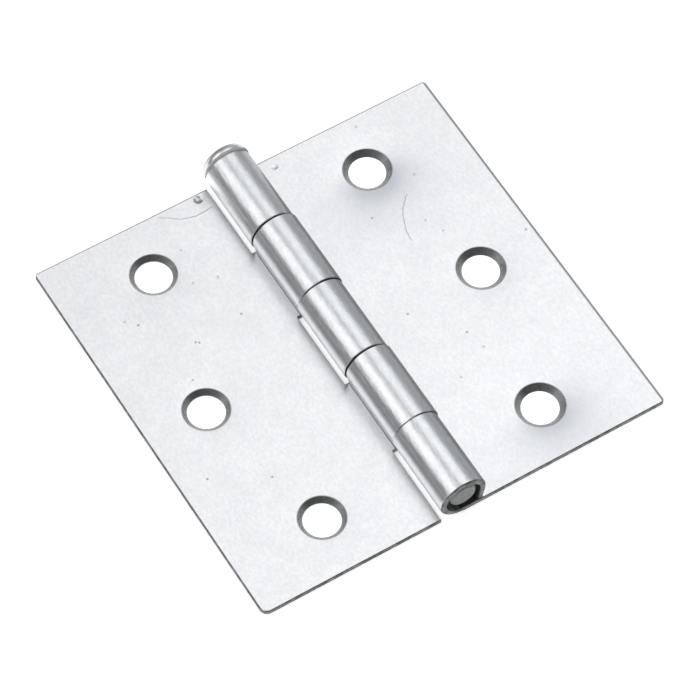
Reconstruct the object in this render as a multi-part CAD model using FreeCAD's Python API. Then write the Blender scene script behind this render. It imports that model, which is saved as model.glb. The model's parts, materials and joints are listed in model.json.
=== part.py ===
"""Butt hinge: two pressed steel leaves whose rolled knuckles share one headed pin.

Units are millimetres. The hinge lies open and flat on its back faces, barrel up, as it is stored.
+X runs to the outer edge of the three-knuckle leaf, +Y along the barrel to the pin's head, and +Z up.
The pieces are shaped about the axis that the leaves swing on, with the leaves' mid-length at Y = 0, and are
then moved so that the origin is the middle of the hinge's footprint, on the plane of the back faces.
"""
import FreeCAD, Part
import math
import os
from FreeCAD import Vector

# Leaves, each one blanked sheet
leaf_height = 76.2          # along the barrel
sheet = 1.1                 # sheet thickness
three_leaf_reach = 40.05    # from the leaf's own knuckles' axis to its outer edge
two_leaf_reach = 38.6
corner_r = 0.6              # outer corners in plan
worn_corner_r = 1.4         # near outer corner of the two-knuckle leaf
edge_break = 0.12           # tumbled bevel on the leaf's sheared edges

# Screw holes, three in a zigzag on each leaf, countersunk on the barrel side; reaches as above
hole_dia = 6.6
countersink_angle = 90.0    # included angle of the screw head
outer_hole_pitch = 55.3     # between a leaf's two end holes, along the barrel
three_leaf_countersink = 8.6
three_leaf_outer_holes = 21.65
three_leaf_middle_hole = 27.7
three_leaf_hole_shift = -0.4    # its end holes were punched this much nearer the near end
two_leaf_countersink = 8.2
two_leaf_outer_holes = 21.2
two_leaf_middle_hole = 27.05

# Round press marks beside the barrel, at the far end of each leaf
three_leaf_mark_dia = 1.3
three_leaf_mark_depth = 0.08
three_leaf_mark_reach = 8.15
three_leaf_mark_from_end = 2.1
two_leaf_mark_dia = 1.7
two_leaf_mark_depth = 0.2
two_leaf_mark_reach = 6.95
two_leaf_mark_from_end = 1.2

# Barrel
knuckle_count = 5           # odd, with the first and last on the three-knuckle leaf
knuckle_gaps = (0.08, 0.22, 0.22, 0.22)     # between neighbours, from the near end to the far end
knuckle_offset = 0.25       # play lets the three-knuckle leaf's knuckles lie this far towards the other leaf
notch_gap = 0.15            # between a leaf's notch and the other leaf's knuckle
notch_corner_r = 0.15
lip_angle = 10.0            # below the knuckle's axis, where its roll ends in a straight lip
seam_gap = 0.2              # between the lip and the leaf's own face
near_end_r = 0.45           # rounded edge of the barrel's near end

# Pin
pin_dia = 5.0
pin_play = 0.8              # radial room of the pin in the knuckles
pin_lean = 0.05             # of the pin past the three-knuckle leaf's knuckles' axis, away from the other leaf's
pin_contact_gap = 0.05      # left where the pin lies against the top of the knuckles
pin_end_recess = 0.05       # of the pin's plain end, inside the last knuckle
pin_end_chamfer = 0.3
head_dia = 8.8
head_height = 1.95
head_rim_height = 0.4       # straight side of the head, under its round shoulder
head_crown_rise = 0.2
head_edge_break = 0.08
head_seat_gap = 0.05

bore_r = pin_dia / 2 + pin_play
barrel_r = bore_r + sheet
pin_lift = math.sqrt((pin_play - pin_contact_gap) ** 2 - (knuckle_offset + pin_lean) ** 2)
half_height = leaf_height / 2
cut_margin = 5.0            # how far cutting tools run past the solid


def knuckle_spans():
    """Low and high Y of each knuckle, from the near end to the far end."""
    pitch = leaf_height / knuckle_count
    spans = []
    low = -half_height
    for i in range(knuckle_count - 1):
        joint = -half_height + (i + 1) * pitch
        spans.append((low, joint - knuckle_gaps[i] / 2))
        low = joint + knuckle_gaps[i] / 2
    spans.append((low, half_height))
    return spans


def lip_start(radius):
    """Where a knuckle's roll ends and its lip begins, at the given distance from the knuckle's axis."""
    angle = math.radians(lip_angle)
    return Vector(radius * math.cos(angle), 0, barrel_r - radius * math.sin(angle))


def lip_run():
    """The lip's direction and length, down to the seam over the leaf's own face."""
    angle = math.radians(lip_angle)
    length = (lip_start(barrel_r).z - sheet - seam_gap) / math.cos(angle)
    return Vector(-math.sin(angle), 0, -math.cos(angle)) * length


def rolled_sheet(reach):
    """A leaf's sheet, flat along +X and rolled over the barrel, before its notches and holes are cut."""
    axis = Vector(0, 0, barrel_r)
    halfway = Vector(-1, 0, 1).normalize()
    outside = Part.Arc(Vector(0, 0, 0), axis + halfway * barrel_r, lip_start(barrel_r))
    inside = Part.Arc(lip_start(bore_r), axis + halfway * bore_r, Vector(0, 0, sheet))
    lip = [lip_start(barrel_r), lip_start(barrel_r) + lip_run(), lip_start(bore_r) + lip_run(), lip_start(bore_r)]
    flat = [Vector(0, 0, sheet), Vector(reach, 0, sheet), Vector(reach, 0, 0), Vector(0, 0, 0)]
    edges = [outside.toShape(), inside.toShape()]
    for corners in (lip, flat):
        edges += [Part.makeLine(corners[i], corners[i + 1]) for i in range(3)]
    profile = Part.Face(Part.Wire(Part.__sortEdges__(edges)))
    profile.translate(Vector(0, -half_height, 0))
    return profile.extrude(Vector(0, leaf_height, 0))


def notch_tools(own, depth):
    """Blocks that clear a leaf's sheet away from the knuckles that aren't its own."""
    spans = knuckle_spans()
    tools = []
    for i in range(knuckle_count):
        if i in own:
            continue
        low = spans[i - 1][1] if i > 0 else -half_height - cut_margin
        high = spans[i + 1][0] if i < knuckle_count - 1 else half_height + cut_margin
        start = -barrel_r - cut_margin
        block = Part.makeBox(depth - start, high - low, 2 * barrel_r + 2 * cut_margin, Vector(start, low, -cut_margin))
        corners = [e for e in block.Edges if upright(e) and abs(e.CenterOfMass.x - depth) < 1e-6]
        tools.append(block.makeFillet(notch_corner_r, corners))
    return tools


def upright(edge):
    """True for a straight edge along Z."""
    if not isinstance(edge.Curve, Part.Line):
        return False
    a, b = edge.Vertexes[0].Point, edge.Vertexes[-1].Point
    return math.hypot(a.x - b.x, a.y - b.y) < 1e-6


def is_sheet_surface(face):
    """True for the flats of a sheet, for the inside and outside of its rolled knuckles, and for their lips."""
    surface = face.Surface
    if isinstance(surface, Part.Cylinder):
        return abs(surface.Axis.y) > 0.999
    return isinstance(surface, Part.Plane) and abs(surface.Axis.y) < 1e-6 and abs(surface.Axis.z) > 1e-6


def is_sheared_wall(face):
    """True for the upright walls round a leaf's outline, with their rounded corners."""
    surface = face.Surface
    if isinstance(surface, Part.Plane):
        return abs(surface.Axis.z) < 1e-6
    return isinstance(surface, Part.Cylinder) and abs(surface.Axis.z) > 0.999


def edges_broken(leaf):
    """The leaf with a small bevel along both edges of its outline, as tumbling leaves it."""
    edges = []
    for edge in leaf.Edges:
        a, b = leaf.ancestorsOfType(edge, Part.Face)
        if (is_sheet_surface(a) and is_sheared_wall(b)) or (is_sheet_surface(b) and is_sheared_wall(a)):
            edges.append(edge)
    return leaf.makeChamfer(edge_break, edges)


def near_end_rounder():
    """The tool that rounds the outer edge of the barrel's near end, from its foot over the top and down the lip."""
    low = -half_height
    run_out = barrel_r + near_end_r
    past_the_lip = lip_run() + lip_run().normalize() * (seam_gap / 4)
    curve = Part.Arc(
        Vector(barrel_r - near_end_r, low, 0),
        Vector(barrel_r - near_end_r * (1 - math.sqrt(0.5)), low + near_end_r * (1 - math.sqrt(0.5)), 0),
        Vector(barrel_r, low + near_end_r, 0),
    )
    corners = [
        Vector(barrel_r, low + near_end_r, 0),
        Vector(run_out, low + near_end_r, 0),
        Vector(run_out, low - cut_margin, 0),
        Vector(barrel_r - near_end_r, low - cut_margin, 0),
        Vector(barrel_r - near_end_r, low, 0),
    ]
    edges = [curve.toShape()] + [Part.makeLine(corners[i], corners[i + 1]) for i in range(4)]
    section = Part.Face(Part.Wire(Part.__sortEdges__(edges)))
    section.rotate(Vector(0, 0, 0), Vector(0, 1, 0), lip_angle)
    section.translate(Vector(0, 0, barrel_r))
    round_the_roll = section.revolve(Vector(0, 0, barrel_r), Vector(0, -1, 0), 270 + lip_angle)
    return round_the_roll.fuse(section.extrude(past_the_lip))


def screw_hole(x, y, countersink_dia):
    """A through hole with its countersink, as one cutting tool."""
    half_angle = math.radians(countersink_angle / 2)
    depth = (countersink_dia - hole_dia) / 2 / math.tan(half_angle)
    mouth_r = countersink_dia / 2 + cut_margin * math.tan(half_angle)
    drill = Part.makeCylinder(hole_dia / 2, sheet + 2 * cut_margin, Vector(x, y, -cut_margin))
    cone = Part.makeCone(hole_dia / 2, mouth_r, depth + cut_margin, Vector(x, y, sheet - depth))
    return drill.fuse(cone)


def screw_holes(outer_reach, middle_reach, shift, countersink_dia):
    """A leaf's three holes, with the end holes shifted along the barrel."""
    places = [(outer_reach, shift - outer_hole_pitch / 2), (middle_reach, 0), (outer_reach, shift + outer_hole_pitch / 2)]
    return [screw_hole(x, y, countersink_dia) for x, y in places]


def press_mark(dia, depth, reach, from_end):
    """The ball that leaves a round mark."""
    ball_r = (dia ** 2 / 4 + depth ** 2) / (2 * depth)
    return Part.makeSphere(ball_r, Vector(reach, half_height - from_end, sheet - depth + ball_r))


def rounded_corner(leaf, reach, y, radius):
    """The leaf with one outer corner rounded in plan."""
    edges = [
        e for e in leaf.Edges
        if upright(e) and abs(e.CenterOfMass.x - reach) < 1e-6 and abs(e.CenterOfMass.y - y) < 1e-6
    ]
    return leaf.makeFillet(radius, edges)


def leaf_blank(reach, own, notch_depth, near_corner_r, far_corner_r):
    """One leaf with its knuckles, lying along +X, before its holes."""
    leaf = rolled_sheet(reach).cut(notch_tools(own, notch_depth))
    leaf = rounded_corner(leaf, reach, -half_height, near_corner_r)
    return edges_broken(rounded_corner(leaf, reach, half_height, far_corner_r))


def three_knuckle_leaf():
    """The leaf that carries the barrel's two ends, out of line with the other leaf's knuckles."""
    notch_depth = barrel_r + knuckle_offset + notch_gap
    leaf = leaf_blank(three_leaf_reach, range(0, knuckle_count, 2), notch_depth, corner_r, corner_r)
    tools = screw_holes(three_leaf_outer_holes, three_leaf_middle_hole, three_leaf_hole_shift, three_leaf_countersink)
    mark = (three_leaf_mark_dia, three_leaf_mark_depth, three_leaf_mark_reach, three_leaf_mark_from_end)
    tools.append(press_mark(*mark))
    tools.append(near_end_rounder())
    leaf = leaf.cut(tools).Solids[0]
    leaf.translate(Vector(-knuckle_offset, 0, 0))
    return leaf


def two_knuckle_leaf():
    """The leaf whose knuckles lie on the axis of the swing."""
    leaf = leaf_blank(two_leaf_reach, range(1, knuckle_count, 2), barrel_r + notch_gap, worn_corner_r, corner_r)
    tools = screw_holes(two_leaf_outer_holes, two_leaf_middle_hole, 0, two_leaf_countersink)
    tools.append(press_mark(two_leaf_mark_dia, two_leaf_mark_depth, two_leaf_mark_reach, two_leaf_mark_from_end))
    return leaf.cut(tools).Solids[0].mirror(Vector(0, 0, 0), Vector(1, 0, 0))


def hinge_pin():
    """The headed pin, lying against the top of the two-knuckle leaf's knuckles."""
    tip = -half_height + pin_end_recess
    seat = half_height + head_seat_gap
    top = seat + head_height
    pin_r = pin_dia / 2
    head_r = head_dia / 2
    shoulder_r = head_height - head_rim_height - head_crown_rise
    shoulder_mid = shoulder_r * math.sqrt(0.5)
    rim = Vector(head_r, seat + head_rim_height, 0)
    crown = Vector(head_r - shoulder_r, top - head_crown_rise, 0)
    round_mid = Vector(crown.x + shoulder_mid, rim.y + shoulder_mid, 0)
    crown_r = (crown.x ** 2 + head_crown_rise ** 2) / (2 * head_crown_rise)
    crown_mid = Vector(crown.x / 2, top - crown_r + math.sqrt(crown_r ** 2 - crown.x ** 2 / 4), 0)
    corners = [
        Vector(0, top, 0),
        Vector(0, tip, 0),
        Vector(pin_r - pin_end_chamfer, tip, 0),
        Vector(pin_r, tip + pin_end_chamfer, 0),
        Vector(pin_r, seat, 0),
        Vector(head_r - head_edge_break, seat, 0),
        Vector(head_r, seat + head_edge_break, 0),
        rim,
    ]
    edges = [Part.makeLine(corners[i], corners[i + 1]) for i in range(len(corners) - 1)]
    edges.append(Part.Arc(rim, round_mid, crown).toShape())
    edges.append(Part.Arc(crown, crown_mid, Vector(0, top, 0)).toShape())
    outline = Part.Face(Part.Wire(Part.__sortEdges__(edges)))
    pin = outline.revolve(Vector(0, 0, 0), Vector(0, 1, 0), 360)
    pin.translate(Vector(-knuckle_offset - pin_lean, 0, barrel_r + pin_lift))
    return pin


def to_footprint_centre():
    """From the swing's axis and the leaves' mid-length to the middle of the footprint."""
    far_end = half_height + head_seat_gap + head_height
    return Vector((two_leaf_reach + knuckle_offset - three_leaf_reach) / 2, (half_height - far_end) / 2, 0)


def main():
    os.makedirs("parts", exist_ok=True)
    pieces = {
        "three_knuckle_leaf": three_knuckle_leaf(),
        "two_knuckle_leaf": two_knuckle_leaf(),
        "hinge_pin": hinge_pin(),
    }
    for name, shape in pieces.items():
        shape.translate(to_footprint_centre())
        shape.exportStep(os.path.join("parts", name + ".step"))
        box = shape.BoundBox
        print(name, shape.ShapeType, len(shape.Solids), "valid", shape.isValid(), "volume", round(shape.Volume, 1))
        print("  x %.3f %.3f  y %.3f %.3f  z %.3f %.3f" % (box.XMin, box.XMax, box.YMin, box.YMax, box.ZMin, box.ZMax))


main()
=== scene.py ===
"""Butt hinge in bright zinc plate, lying open on a white studio table.

Lengths are metres unless a name says otherwise. Positions on the hinge are in the part's frame: X across the
leaves, Y along the barrel to the pin's head, Z up from the back faces.
"""
import json
import math
import bpy
from mathutils import Matrix, Vector

MM = 0.001
sheet = 1.1 * MM            # thickness of the leaves

# Camera, fitted to the photograph's straight edges and hole outlines
camera_aim = Vector((-0.58, -2.89, 0.0)) * MM
camera_distance = 707 * MM
camera_azimuth = -32.96     # degrees; 0 looks along +Y
camera_elevation = 58.63
camera_roll = -1.68
camera_lens_mm = 215.0
camera_sensor_mm = 36.0

# Table
table_size = 8.0
table_colour = (0.9, 0.9, 0.9)
table_lift = 0.58           # what the camera and the metal see on top of the light that falls there

# Studio: two flat light banks hang level over the table, turned a little, with their edges in heights above it
bank_height = 1.5
bank_row = 0.5              # the row along X where the side edges are given; the hinge mirrors about this row
bank_near = -0.6
left_bank = {"edges": (-1.95, -0.25), "far": 1.15, "turn": -12.0, "brightness": 1.56}
right_bank = {"edges": (-0.06, 0.885), "far": 0.81, "turn": 17.7, "brightness": 1.19}
sky_left = (0.068, 0.07, 0.072)     # brightness, where 1 is white
sky_right = (0.46, 0.47, 0.48)
sky_near = (0.3, 0.305, 0.31)       # behind the camera

# Zinc plate, where it is marked, cut or darker, and where light and shade are painted on it
zinc_colour = (0.727, 0.73, 0.738)
zinc_roughness = 0.31
speckle_colour = (0.64, 0.645, 0.67)
# Dull marks, and also the painted shade under the barrel
dull_and_shade_colour = (0.2, 0.2, 0.2)
drilled_colour = (0.43, 0.435, 0.43)
# Painted shade on the hole walls that face -Y and a little -X, towards the camera's side, darkest there. It is
# fixed to the part.
drilled_wall_shade_colour = (0.12, 0.125, 0.125)
tool_mark_colour = (0.2, 0.205, 0.21)
# Painted shade on one side of each countersink's dish
dish_shade_colour = (0.5, 0.515, 0.55)
# Painted bands: how bright the knuckles' plate is by how far it faces up, on the -X side, then on the +X side.
# Fitted to the photograph's light and dark bands and fixed to the part: a real plate is even, and its bands
# are reflections.
minus_x_painted_bands = (
    (-0.45, 1.0), (-0.3, 0.85), (-0.15, 0.9), (0.0, 1.25), (0.28, 1.3), (0.38, 1.0), (0.43, 0.76), (0.5, 0.56),
    (0.56, 0.6), (0.61, 0.82), (0.68, 1.0),
)
plus_x_painted_bands = ((-1.0, 0.4), (0.5, 0.5), (0.75, 0.56), (0.81, 0.66), (0.86, 0.79), (0.9, 0.9), (0.95, 1.0))
rolled_tint = (0.985, 0.998, 0.997)
sheared_colour = (0.22, 0.225, 0.22)
torn_colour = (0.09, 0.095, 0.09)
dark_rim_colour = (0.15, 0.155, 0.155)
sheared_roughness = 0.5
bevel_roughness = 0.45
cut_end_colours = (0.15, 0.16, 0.15), (0.2, 0.21, 0.2)
# Painted shade on the pin head's far side
pin_rim_shade_colour = (0.2, 0.205, 0.2)
# Painted highlight on the face under the pin's head
pin_seat_highlight_colour = (0.95, 0.95, 0.95)

# Relief of the plate, as bump heights in metres
grain_height = 1.7e-5
ripple_height = 1.6e-5
wave_height = 1.6e-4
pit_depth = 1.2e-5
roll_mark_height = 6.2e-5
rolled_grain_height = 3.0e-5

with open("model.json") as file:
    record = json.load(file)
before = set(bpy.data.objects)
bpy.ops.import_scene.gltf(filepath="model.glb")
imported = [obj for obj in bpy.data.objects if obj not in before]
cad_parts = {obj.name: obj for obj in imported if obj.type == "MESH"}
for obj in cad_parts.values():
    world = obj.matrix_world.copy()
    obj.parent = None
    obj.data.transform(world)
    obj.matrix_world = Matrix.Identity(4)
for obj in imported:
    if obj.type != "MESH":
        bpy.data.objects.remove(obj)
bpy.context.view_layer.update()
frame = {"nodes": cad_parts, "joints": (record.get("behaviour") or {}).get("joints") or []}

leaves = {"three": frame["nodes"]["three_knuckle_leaf"], "two": frame["nodes"]["two_knuckle_leaf"]}
pin = frame["nodes"]["hinge_pin"]
joint = frame["joints"][0]
axis_x, axis_y, _ = joint["pos_m"]


class Shader:
    """Adds nodes to a node tree and joins them, so that a formula reads as one."""

    def __init__(self, tree):
        self.tree = tree
        tree.nodes.clear()

    def node(self, kind, inputs=(), **settings):
        made = self.tree.nodes.new(kind)
        for key, value in settings.items():
            setattr(made, key, value)
        for key, value in dict(inputs).items():
            self.give(made.inputs[key], value)
        return made

    def give(self, socket, value):
        if isinstance(value, bpy.types.NodeSocket):
            self.tree.links.new(value, socket)
        else:
            socket.default_value = value

    def math(self, operation, *values):
        return self.node("ShaderNodeMath", enumerate(values), operation=operation).outputs[0]

    def total(self, *values):
        result = values[0]
        for value in values[1:]:
            result = self.math("ADD", result, value)
        return result

    def product(self, *values):
        result = values[0]
        for value in values[1:]:
            result = self.math("MULTIPLY", result, value)
        return result

    def scaled(self, vector, factor):
        return self.node("ShaderNodeVectorMath", {0: vector, 3: factor}, operation="SCALE").outputs[0]

    def vector(self, operation, *values):
        made = self.node("ShaderNodeVectorMath", enumerate(values), operation=operation)
        return made.outputs["Value" if operation in ("DOT_PRODUCT", "LENGTH", "DISTANCE") else "Vector"]

    def parts(self, vector):
        return self.node("ShaderNodeSeparateXYZ", {0: vector}).outputs

    def step(self, value, start, end):
        """0 at start, 1 at end, with soft ends between them."""
        made = self.node("ShaderNodeMapRange", {0: value, 1: start, 2: end}, interpolation_type="SMOOTHSTEP")
        return made.outputs[0]

    def noise(self, place, size, detail=2.0, roughness=0.5):
        """Noise from 0 to 1 in patches of the given size."""
        inputs = {"Vector": place, "Scale": 1 / size, "Detail": detail, "Roughness": roughness}
        return self.node("ShaderNodeTexNoise", inputs).outputs["Fac"]

    def curve(self, value, points):
        """Straight lines through the points, whose first values run from -1 to 1 and second ones from 0 to 2."""
        made = self.node("ShaderNodeValToRGB", {0: self.math("MULTIPLY_ADD", value, 0.5, 0.5)})
        ramp = made.color_ramp
        while len(ramp.elements) < len(points):
            ramp.elements.new(0.5)
        for element, (place, result) in zip(ramp.elements, points):
            element.position = place / 2 + 0.5
            element.color = (result / 2, result / 2, result / 2, 1)
        return self.math("MULTIPLY", self.parts(made.outputs[0])[0], 2.0)

    def mix(self, factor, a, b):
        made = self.node("ShaderNodeMix", data_type="RGBA")
        self.give(made.inputs["Factor"], factor)
        self.give(made.inputs[6], (*a, 1) if isinstance(a, tuple) else a)
        self.give(made.inputs[7], (*b, 1) if isinstance(b, tuple) else b)
        return made.outputs[2]

    def mix_value(self, factor, a, b):
        return self.node("ShaderNodeMix", {0: factor, 2: a, 3: b}, data_type="FLOAT").outputs[0]


def new_material(name):
    material = bpy.data.materials.new(name)
    material.use_nodes = True
    return material, Shader(material.node_tree)


def on_leaf(x, y):
    """A point of the leaves' top faces, from the barrel's axis and the leaves' mid-length in millimetres."""
    return (axis_x + x * MM, axis_y + y * MM, sheet)


def on_leaf_all(*points):
    return [on_leaf(x, y) for x, y in points]


def up_to_leaf_top(s, place):
    """1 in the leaves' flat sheet, 0 in the barrel above it."""
    return s.step(s.parts(place)[2], sheet * 1.06, sheet * 1.02)


def rolled_part(s, place):
    """0 in the leaves' flat sheet, 1 in the barrel above it."""
    return s.step(s.parts(place)[2], sheet * 1.3, sheet * 2)


def from_axis(s, place):
    """How far across the leaves a point lies from the barrel's axis."""
    return s.math("ABSOLUTE", s.math("SUBTRACT", s.parts(place)[0], axis_x))


def distance_in_plan(s, place, point):
    flat = s.vector("MULTIPLY", s.vector("SUBTRACT", place, point), (1, 1, 0))
    return s.vector("LENGTH", flat)


def distance_to_nearest(s, place, points):
    nearest = distance_in_plan(s, place, points[0])
    for point in points[1:]:
        nearest = s.math("MINIMUM", nearest, distance_in_plan(s, place, point))
    return nearest


def dish(s, place, centre, mouth_r, depth, reach, shade_strength, shade_side):
    """The shallow dish that pressing a countersink leaves: its height, and the painted shade it puts on the
    plate.

    Depth is in metres, reach is how far out the dish fades, and the last two say how dark its painted shade is
    and on which side.
    All are fitted to the shading round the photograph's holes.
    """
    past_rim = s.math("MAXIMUM", s.math("SUBTRACT", distance_in_plan(s, place, centre), mouth_r), 0.0)
    dished = s.math("EXPONENT", s.product(past_rim, -1 / reach))
    away = s.vector("NORMALIZE", s.vector("SUBTRACT", place, centre))
    on_shade_side = s.step(s.vector("DOT_PRODUCT", away, shade_side), -0.5, 1.0)
    return s.product(dished, -depth), s.product(dished, on_shade_side, shade_strength)


def inside_holes(s, place, centres, mouth_r):
    """1 on the walls of a leaf's holes, then 1 on the thin rims round their mouths."""
    nearest = distance_to_nearest(s, place, centres)
    just_inside = mouth_r - 0.06 * MM
    walls = s.step(nearest, mouth_r, just_inside)
    near_mouth = s.step(nearest, mouth_r + 0.16 * MM, mouth_r + 0.08 * MM)
    return walls, s.product(near_mouth, s.step(nearest, just_inside, mouth_r))


def arc_mark(s, place, ends, middle, width):
    """1 on a fine curved mark through three points, 0 beside it."""
    a, b, c = (Vector(p[:2]) for p in (ends[0], middle, ends[1]))
    d = 2 * (a.x * (b.y - c.y) + b.x * (c.y - a.y) + c.x * (a.y - b.y))
    ux = (a.length_squared * (b.y - c.y) + b.length_squared * (c.y - a.y) + c.length_squared * (a.y - b.y)) / d
    uy = (a.length_squared * (c.x - b.x) + b.length_squared * (a.x - c.x) + c.length_squared * (b.x - a.x)) / d
    centre = Vector((ux, uy))
    radius = (a - centre).length
    chord = (c - a).normalized()
    off_line = s.math("ABSOLUTE", s.math("SUBTRACT", distance_in_plan(s, place, (ux, uy, 0)), radius))
    on_line = s.step(off_line, width, 0.0)
    from_start = s.vector("SUBTRACT", place, (a.x, a.y, 0))
    along = s.vector("DOT_PRODUCT", from_start, (chord.x, chord.y, 0))
    length = (c - a).length
    near_side = s.vector("DOT_PRODUCT", s.vector("SUBTRACT", place, (ux, uy, 0)), (b.x - ux, b.y - uy, 0))
    between_ends = s.product(s.step(along, 0.0, width), s.step(along, length, length - width))
    return s.product(on_line, between_ends, s.step(near_side, 0.0, 1e-9))


def specks(s, place, spacing, size, share):
    """1 in small round spots, one in a share of the cells of the given spacing."""
    cells = s.node("ShaderNodeTexVoronoi", {"Vector": place, "Scale": 1 / spacing})
    chosen = s.step(s.parts(cells.outputs["Color"])[0], share, share * 0.8)
    return s.product(s.step(cells.outputs["Distance"], size / spacing, size / spacing * 0.4), chosen)


def spots(s, place, places, size):
    """1 in small round spots at the given places."""
    return s.step(distance_to_nearest(s, place, places), size, size * 0.4)


def sheared_walls(s, place, normal):
    """1 on the sheared walls of the sheet's outline, the flat leaf's bevels and the barrel's rounded near end."""
    across, along, _ = s.parts(s.vector("ABSOLUTE", normal))
    low = up_to_leaf_top(s, place)
    outer = s.step(from_axis(s, place), 29 * MM, 31 * MM)
    side = s.math("MAXIMUM", s.step(across, 0.8, 0.9), s.product(s.step(across, 0.6, 0.7), outer))
    end = s.math("MAXIMUM", s.step(along, 0.8, 0.95), s.product(s.step(along, 0.55, 0.68), low))
    near_end = s.step(s.parts(place)[1], axis_y - 37.55 * MM, axis_y - 37.65 * MM)
    end = s.math("MAXIMUM", end, s.product(s.step(along, 0.35, 0.5), near_end))
    return s.math("MAXIMUM", end, s.product(side, low))


def dark_rims(s, place):
    """1 along the leaves' far edges and the three-knuckle leaf's outer edge, dark in the photograph."""
    across, along, _ = s.parts(place)
    far = s.step(along, axis_y + 37.8 * MM, axis_y + 37.92 * MM)
    outer = s.step(across, axis_x + 39.25 * MM, axis_x + 39.45 * MM)
    return s.product(up_to_leaf_top(s, place), s.math("MAXIMUM", far, outer), 0.85)


def painted_shade_under_barrel(s, place, normal):
    """1 on the leaf's own face where its knuckles hang over it: a thin line of painted shade."""
    beneath = s.step(from_axis(s, place), 3.85 * MM, 3.72 * MM)
    return s.product(beneath, up_to_leaf_top(s, place), s.step(s.parts(normal)[2], 0.8, 0.9))


def inner_bevels(s, place, normal):
    """1 on the bevels beside the barrel, which stay bright but rough."""
    beside = s.step(from_axis(s, place), 9 * MM, 8 * MM)
    tilted = s.step(s.math("ABSOLUTE", s.parts(normal)[0]), 0.6, 0.7)
    return s.product(tilted, beside, up_to_leaf_top(s, place))


def painted_reflection_bands(s, place, normal):
    """Painted reflection bands: how bright the plate is by the way it faces on the barrel, fitted to the bands it
    reflects.
    """
    across, _, up = s.parts(normal)
    side = s.step(across, -0.02, 0.02)
    level = s.mix_value(side, s.curve(up, minus_x_painted_bands), s.curve(up, plus_x_painted_bands))
    return s.mix_value(rolled_part(s, place), 1.0, level)


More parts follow.
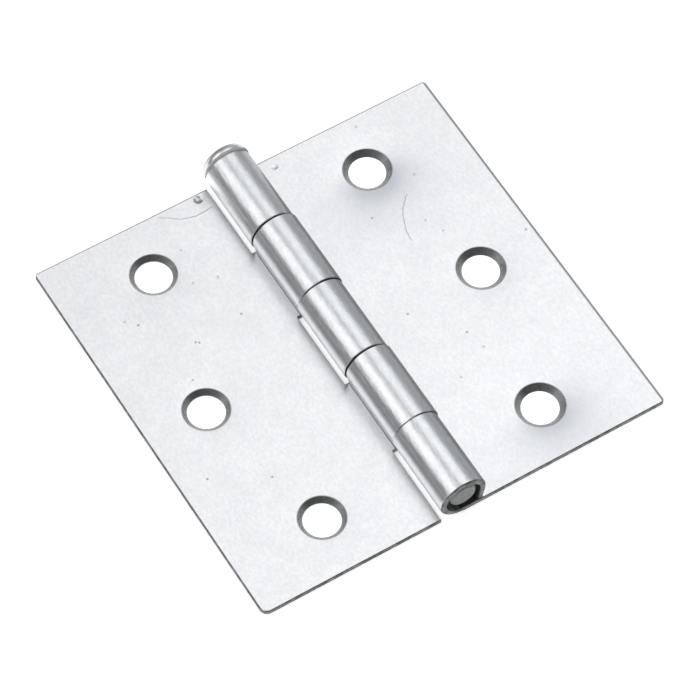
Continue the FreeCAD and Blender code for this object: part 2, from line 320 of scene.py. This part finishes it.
def zinc_sheet(name, holes, mouth_r, dishes, marks, spot_places, smudge_places, press_mark_place):
    """Bright zinc over pressed sheet: fine grain, dished round the holes, dark where it was sheared or drilled.

    Marks, spots and dishes lie on the side of the countersinks, and the back face is plain.
    """
    material, s = new_material(name)
    coordinates = s.node("ShaderNodeTexCoord")
    place, normal = coordinates.outputs["Object"], coordinates.outputs["Normal"]
    wobble = s.node("ShaderNodeTexNoise", {"Vector": place, "Scale": 900.0, "Detail": 2.0}).outputs["Color"]
    centred = s.vector("SUBTRACT", wobble, (0.5, 0.5, 0.5))
    shaken = s.vector("ADD", place, s.vector("MULTIPLY", centred, (0.9 * MM,) * 3))

    not_back = s.step(s.parts(normal)[2], -0.7, -0.5)
    grain = s.noise(place, 0.45 * MM, 2.0, 0.6)
    ripple = s.noise(place, 4 * MM, 2.0)
    wave = s.noise(place, 26 * MM, 1.0)
    rolled = rolled_part(s, place)
    roll_marks = s.noise(s.vector("MULTIPLY", place, (1, 0.35, 1)), 1.2 * MM, 4.0, 0.6)
    placed = s.product(spots(s, place, spot_places, 0.3 * MM), not_back)
    pits = s.math("MAXIMUM", specks(s, place, 7 * MM, 0.26 * MM, 0.3), placed)
    rolled_grain = s.noise(place, 0.3 * MM, 2.0, 0.6)
    heights = [
        s.product(grain, grain_height), s.product(ripple, ripple_height), s.product(wave, wave_height),
        s.product(pits, -pit_depth), s.product(roll_marks, rolled, roll_mark_height),
        s.product(rolled_grain, rolled, rolled_grain_height),
    ]
    dish_heights, dished = zip(*[dish(s, place, *given) for given in dishes])
    marked = [s.product(arc_mark(s, shaken, *given[:3]), given[3]) for given in marks]
    heights.append(s.product(s.total(*dish_heights, *marked), not_back))
    bump = s.node("ShaderNodeBump", {"Strength": 1.0, "Distance": 1.0, "Height": s.total(*heights)})

    sheared = sheared_walls(s, place, normal)
    rough_bevel = inner_bevels(s, place, normal)
    drilled, hole_rims = (s.product(part, not_back) for part in inside_holes(s, place, holes, mouth_r))
    pressed = s.product(s.step(distance_in_plan(s, place, press_mark_place), 0.85 * MM, 0.7 * MM), not_back)
    smudged = s.product(spots(s, shaken, smudge_places, 0.34 * MM), not_back)
    # Painted shade on the leaf where the knuckles hang over it
    barrel_shade = painted_shade_under_barrel(s, place, normal)
    # Dull pits, press marks, smudges and hole rims, and the painted shade under the barrel
    dull_and_shade = s.product(pits, 0.7)
    for part, share in ((pressed, 0.35), (smudged, 0.4), (hole_rims, 0.75), (barrel_shade, 0.9)):
        dull_and_shade = s.math("MAXIMUM", dull_and_shade, s.product(part, share))
    speckle = s.step(s.noise(s.vector("MULTIPLY", place, (1, 0.6, 1)), 0.5 * MM, 3.0, 0.65), 0.35, 0.65)
    patchy = s.step(s.noise(place, 3 * MM, 4.0, 0.7), 0.3, 0.7)
    cloudy = s.step(s.noise(place, 17 * MM, 2.0), 0.3, 0.7)
    clouded = tuple(c * 0.95 for c in zinc_colour)
    clean = s.mix(s.product(cloudy, 0.5), zinc_colour, clouded)
    plate = s.mix(s.product(patchy, 0.35), clean, clouded)
    plate = s.mix(s.product(speckle, 0.85), plate, speckle_colour)
    # Painted shade round the countersinks, darkest on one side of each dish
    plate = s.mix(s.product(s.total(*dished), not_back), plate, dish_shade_colour)
    plate = s.mix(dull_and_shade, plate, dull_and_shade_colour)
    plate = s.mix(rolled, plate, s.vector("MULTIPLY", plate, rolled_tint))
    # Painted reflection bands on the barrel, by the way its surface faces
    plate = s.scaled(plate, painted_reflection_bands(s, place, normal))
    torn = s.step(s.noise(place, 1.3 * MM, 3.0, 0.65), 0.38, 0.62)
    edge = s.mix(torn, sheared_colour, torn_colour)
    edged = s.mix(dark_rims(s, place), s.mix(sheared, plate, edge), dark_rim_colour)
    # Painted shade on the hole walls that face the camera's side
    facing_wall_shade = s.step(s.vector("DOT_PRODUCT", normal, (0.42, 0.91, 0)), -0.3, -0.62)
    tooled = s.step(s.noise(s.vector("MULTIPLY", place, (1, 1, 3)), 0.45 * MM, 3.0, 0.7), 0.38, 0.62)
    wall = s.mix(s.product(tooled, 0.6), s.mix(facing_wall_shade, drilled_colour, drilled_wall_shade_colour), tool_mark_colour)
    colour = s.mix(drilled, edged, wall)
    polished = s.total(s.product(patchy, 0.03), zinc_roughness - 0.015)
    roughness = s.mix_value(s.math("MAXIMUM", sheared, drilled), polished, sheared_roughness)
    roughness = s.mix_value(rough_bevel, roughness, bevel_roughness)
    shader = s.node("ShaderNodeBsdfPrincipled", {
        "Base Color": colour, "Metallic": 1.0, "Roughness": roughness, "Normal": bump.outputs[0],
    })
    s.node("ShaderNodeOutputMaterial", {"Surface": shader.outputs[0]})
    return material


def zinc_pin():
    """Bright zinc over turned steel, matt and pitted at the cut end; painted shade on the head's far side,
    highlight under it.
    """
    material, s = new_material("zinc_pin")
    coordinates = s.node("ShaderNodeTexCoord")
    place, facing = coordinates.outputs["Object"], s.parts(coordinates.outputs["Normal"])[1]
    cut_end = s.step(s.parts(place)[1], axis_y - 37.2 * MM, axis_y - 37.5 * MM)
    mottle = s.noise(place, 0.7 * MM, 4.0, 0.65)
    grain = s.noise(place, 0.9 * MM, 3.0, 0.6)
    height = s.total(s.product(grain, 2.0e-6), s.product(mottle, cut_end, 9e-5))
    bump = s.node("ShaderNodeBump", {"Strength": 1.0, "Distance": 1.0, "Height": height})
    end_colour = s.mix(s.step(mottle, 0.4, 0.65), *cut_end_colours)
    # Painted shade on the surfaces that face +Y, round the head's far side
    rim_shade = s.step(facing, 0.35, 0.55)
    at_head = s.step(s.parts(place)[1], axis_y + 37 * MM, axis_y + 38 * MM)
    # Painted highlight on the face under the head
    seat_highlight = s.product(s.step(facing, -0.8, -0.95), at_head)
    plate = s.mix(seat_highlight, s.mix(rim_shade, zinc_colour, pin_rim_shade_colour), pin_seat_highlight_colour)
    colour = s.mix(cut_end, plate, end_colour)
    roughness = s.mix_value(seat_highlight, s.mix_value(cut_end, zinc_roughness, 0.42), 0.9)
    shader = s.node("ShaderNodeBsdfPrincipled", {
        "Base Color": colour, "Metallic": 1.0, "Roughness": roughness, "Normal": bump.outputs[0],
    })
    s.node("ShaderNodeOutputMaterial", {"Surface": shader.outputs[0]})
    return material


def dress(piece, material):
    for slot in piece.material_slots:
        slot.material = material


def table_material():
    """White, lifted for camera, glossy and transmission rays, so that its shadow stays soft and pale."""
    material, s = new_material("table_white")
    rays = s.node("ShaderNodeLightPath").outputs
    by_metal = s.math("MAXIMUM", rays["Is Glossy Ray"], rays["Is Transmission Ray"])
    seen = s.math("MAXIMUM", rays["Is Camera Ray"], by_metal)
    matt = s.node("ShaderNodeBsdfDiffuse", {"Color": (*table_colour, 1)})
    lift = s.node("ShaderNodeEmission", {"Color": (1, 1, 1, 1), "Strength": s.product(seen, table_lift)})
    both = s.node("ShaderNodeAddShader", {0: matt.outputs[0], 1: lift.outputs[0]})
    s.node("ShaderNodeOutputMaterial", {"Surface": both.outputs[0]})
    return material


def table():
    half = table_size / 2
    mesh = bpy.data.meshes.new("table")
    corners = [(-half, -half, 0), (half, -half, 0), (half, half, 0), (-half, half, 0)]
    mesh.from_pydata(corners, [], [(0, 1, 2, 3)])
    mesh.materials.append(table_material())
    top = bpy.data.objects.new("table", mesh)
    bpy.context.scene.collection.objects.link(top)


def towards(azimuth, elevation):
    """The unit vector at an azimuth from +Y towards +X and an elevation, in degrees."""
    a, e = math.radians(azimuth), math.radians(elevation)
    return Vector((math.sin(a) * math.cos(e), math.cos(a) * math.cos(e), math.sin(e)))


def sky():
    """A dim studio, pale past the three-knuckle leaf, grey behind the camera and dark past the other leaf."""
    world = bpy.data.worlds.new("studio")
    bpy.context.scene.world = world
    world.use_nodes = True
    s = Shader(world.node_tree)
    across, along, _ = s.parts(s.node("ShaderNodeTexCoord").outputs["Generated"])
    sides = s.mix(s.step(across, -1.0, 1.0), sky_left, sky_right)
    colour = s.mix(s.step(along, 0.4, -0.4), sides, sky_near)
    background = s.node("ShaderNodeBackground", {"Color": colour, "Strength": 1.0})
    s.node("ShaderNodeOutputWorld", {"Surface": background.outputs[0]})


def light_bank(name, edges, far, turn, brightness):
    """A level light, with its side edges given where they cross bank_row, and its far edge on its middle line."""
    angle = math.radians(turn)
    light = bpy.data.lights.new(name, "AREA")
    light.shape = "RECTANGLE"
    light.size = (edges[1] - edges[0]) * math.cos(angle) * bank_height
    light.size_y = (far - bank_near) * math.cos(angle) * bank_height
    light.energy = brightness * math.pi * light.size * light.size_y
    bank = bpy.data.objects.new(name, light)
    bpy.context.scene.collection.objects.link(bank)
    past_row = ((far + bank_near) / 2 - bank_row) * math.cos(angle)
    middle = Vector((sum(edges) / 2 - past_row * math.sin(angle), bank_row + past_row * math.cos(angle), 1))
    bank.location = middle * bank_height
    bank.rotation_euler = (0, 0, angle)
    bank.visible_camera = False


def studio():
    sky()
    light_bank("left_bank", **left_bank)
    light_bank("right_bank", **right_bank)


def camera():
    data = bpy.data.cameras.new("camera")
    data.sensor_width = camera_sensor_mm
    data.lens = camera_lens_mm
    data.clip_start = 0.01
    data.clip_end = 100
    back = towards(180 - camera_azimuth, camera_elevation)
    level = (-back).cross(Vector((0, 0, 1))).normalized()
    down = (-back).cross(level)
    roll = math.radians(camera_roll)
    right = level * math.cos(roll) + down * math.sin(roll)
    up = back.cross(right)
    taken = bpy.data.objects.new("camera", data)
    bpy.context.scene.collection.objects.link(taken)
    taken.matrix_world = Matrix((
        (right.x, up.x, back.x, 0), (right.y, up.y, back.y, 0), (right.z, up.z, back.z, 0), (0, 0, 0, 1),
    ))
    taken.location = camera_aim + back * camera_distance
    bpy.context.scene.camera = taken


bpy.context.scene.view_settings.view_transform = "Standard"

# Where things lie on each leaf, from the barrel's axis and the leaves' mid-length in millimetres
three_holes = on_leaf_all((21.4, 27.25), (27.45, 0), (21.4, -28.05))
three_mouth_r = 4.3 * MM
# Each dish: its hole, mouth radius, depth, reach, and the strength and side of its painted shade
three_dishes = [
    (three_holes[0], three_mouth_r, 2.4e-4, 4.2 * MM, 1.3, (0.0, -1.0, 0)),
    (three_holes[1], three_mouth_r, 0.8e-4, 2.0 * MM, 0.25, (0.68, -0.73, 0)),
    (three_holes[2], three_mouth_r, 3.6e-4, 4.6 * MM, 1.15, (0.15, -0.99, 0)),
]
three_marks = [(on_leaf_all((24.5, 19.4), (20.2, 11.0)), on_leaf(21.5, 15.6), 0.14 * MM, -2.6e-5)]
three_spots = on_leaf_all((16.8, 18.3), (18.5, -9.6), (11.8, -1.4), (38.3, 2.7))
three_smudges = on_leaf_all((24.4, 35.9), (24.5, 13.1), (26.0, 9.9), (27.8, 22.3), (19.4, -13.6), (12.9, -16.6))
three_press_mark = on_leaf(0, 60)   # off the leaf: its own mark stays bright

two_holes = on_leaf_all((-21.2, 27.65), (-27.05, 0), (-21.2, -27.65))
two_mouth_r = 4.1 * MM
two_dishes = [(hole, two_mouth_r, 0.6e-4, 2.0 * MM, 0.15, (0.68, -0.73, 0)) for hole in two_holes]
two_marks = [(on_leaf_all((-14.5, 37.2), (-5.5, 34.3)), on_leaf(-9.0, 34.1), 0.28 * MM, 2.4e-5)]
two_spots = on_leaf_all(
    (-21.9, 12.3), (-21.4, 11.9), (-24.3, -16.8), (-33.7, -11.6), (-12.4, 13.2), (-28.5, 20.2),
)
two_smudges = on_leaf_all((-16.2, 22.6), (-14.6, 29.5), (-30.1, 22.0), (-12.1, 21.6))
two_press_mark = on_leaf(-6.95, 36.9)

three_look = (three_holes, three_mouth_r, three_dishes, three_marks, three_spots, three_smudges, three_press_mark)
two_look = (two_holes, two_mouth_r, two_dishes, two_marks, two_spots, two_smudges, two_press_mark)
dress(leaves["three"], zinc_sheet("zinc_three_knuckle_leaf", *three_look))
dress(leaves["two"], zinc_sheet("zinc_two_knuckle_leaf", *two_look))
dress(pin, zinc_pin())
table()
studio()
camera()
